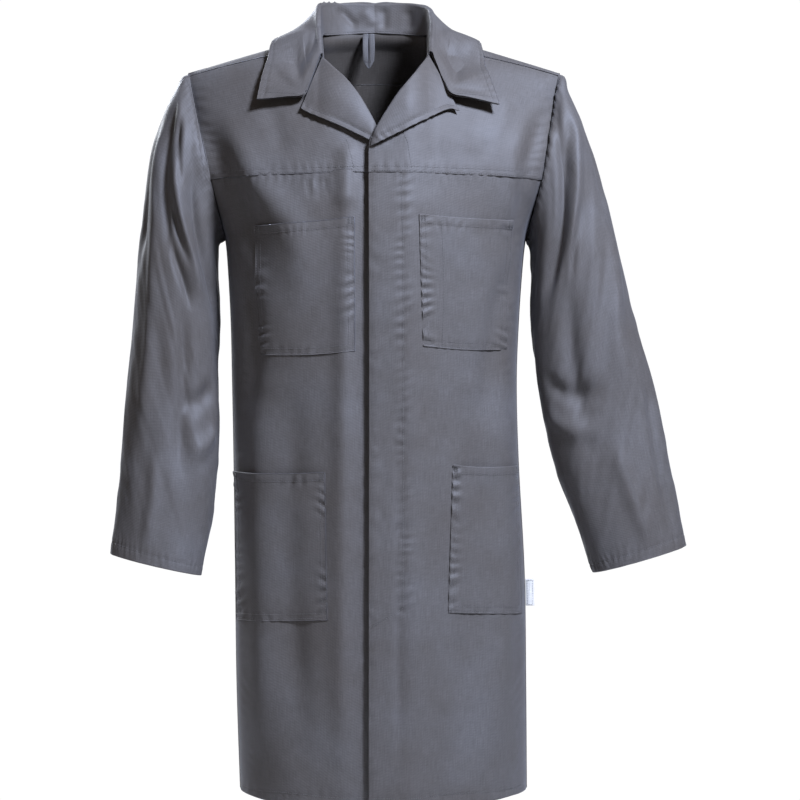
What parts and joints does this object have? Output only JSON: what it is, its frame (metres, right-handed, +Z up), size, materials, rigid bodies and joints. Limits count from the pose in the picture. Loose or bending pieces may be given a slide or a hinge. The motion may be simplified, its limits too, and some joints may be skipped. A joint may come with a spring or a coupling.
{
  "type": "lab coat",
  "caption": "Long-sleeved lab coat hanging closed: turned-down collar with lapels, concealed press-stud front, chest and hip patch pockets, hanging loop.",
  "frame": {"origin": "centre back of the neck seam, where the hanging loop is sewn", "axes": "+Z up along the hanging coat, -Y is the front, +X is the wearer's left"},
  "size_m": [0.782, 0.318, 1.091],
  "materials": {
    "coat_cloth": "matte",
    "interlining": "matte",
    "loop_tape": "matte",
    "label_cloth": "matte",
    "stud_metal": "satin"
  },
  "bodies": {
    "coat_body": {"back_panel": "coat_cloth", "back_yoke": "coat_cloth", "left_front_yoke": "coat_cloth", "right_front_yoke": "coat_cloth", "left_lapel": "coat_cloth", "right_lapel": "coat_cloth", "under_collar": "coat_cloth", "collar_interlining": "interlining", "top_collar": "coat_cloth"},
    "left_front": {"left_front_panel": "coat_cloth", "placket_facing": "coat_cloth", "left_chest_pocket": "coat_cloth", "left_hip_pocket": "coat_cloth", "stud_caps": "stud_metal", "stud_sockets": "stud_metal"},
    "right_front": {"right_front_panel": "coat_cloth", "right_facing": "coat_cloth", "right_chest_pocket": "coat_cloth", "right_hip_pocket": "coat_cloth", "stud_posts": "stud_metal", "stud_backs": "stud_metal"},
    "left_sleeve": {"left_sleeve": "coat_cloth"},
    "right_sleeve": {"right_sleeve": "coat_cloth"},
    "hanging_loop": {"hanging_loop": "loop_tape"},
    "side_label": {"side_label": "label_cloth"}
  },
  "joints": [
    {"name": "left_front_fold", "type": "hinge", "parent": "coat_body", "child": "left_front", "pos_m": [0.135, -0.212, -0.6], "axis": [0, 0, 1], "range_deg": [0, 80]},
    {"name": "right_front_fold", "type": "hinge", "parent": "coat_body", "child": "right_front", "pos_m": [-0.135, -0.212, -0.6], "axis": [0, 0, 1], "range_deg": [-50, 0]},
    {"name": "left_sleeve_raise", "type": "hinge", "parent": "coat_body", "child": "left_sleeve", "pos_m": [0.2566, -0.065, -0.061], "axis": [0, -1, 0], "range_deg": [0, 60]},
    {"name": "right_sleeve_raise", "type": "hinge", "parent": "coat_body", "child": "right_sleeve", "pos_m": [-0.2566, -0.065, -0.061], "axis": [0, 1, 0], "range_deg": [0, 60]},
    {"name": "loop_lift", "type": "hinge", "parent": "coat_body", "child": "hanging_loop", "pos_m": [-0.008, -0.0076, -0.001], "axis": [-1, 0, 0], "range_deg": [0, 150]},
    {"name": "label_turn", "type": "hinge", "parent": "coat_body", "child": "side_label", "pos_m": [0.2005, -0.065, -0.775], "axis": [0, 0, 1], "range_deg": [-50, 50]}
  ],
  "couplings": [
    {"joint": "right_front_fold", "follows": "left_front_fold", "ratio": -0.6}
  ]
}
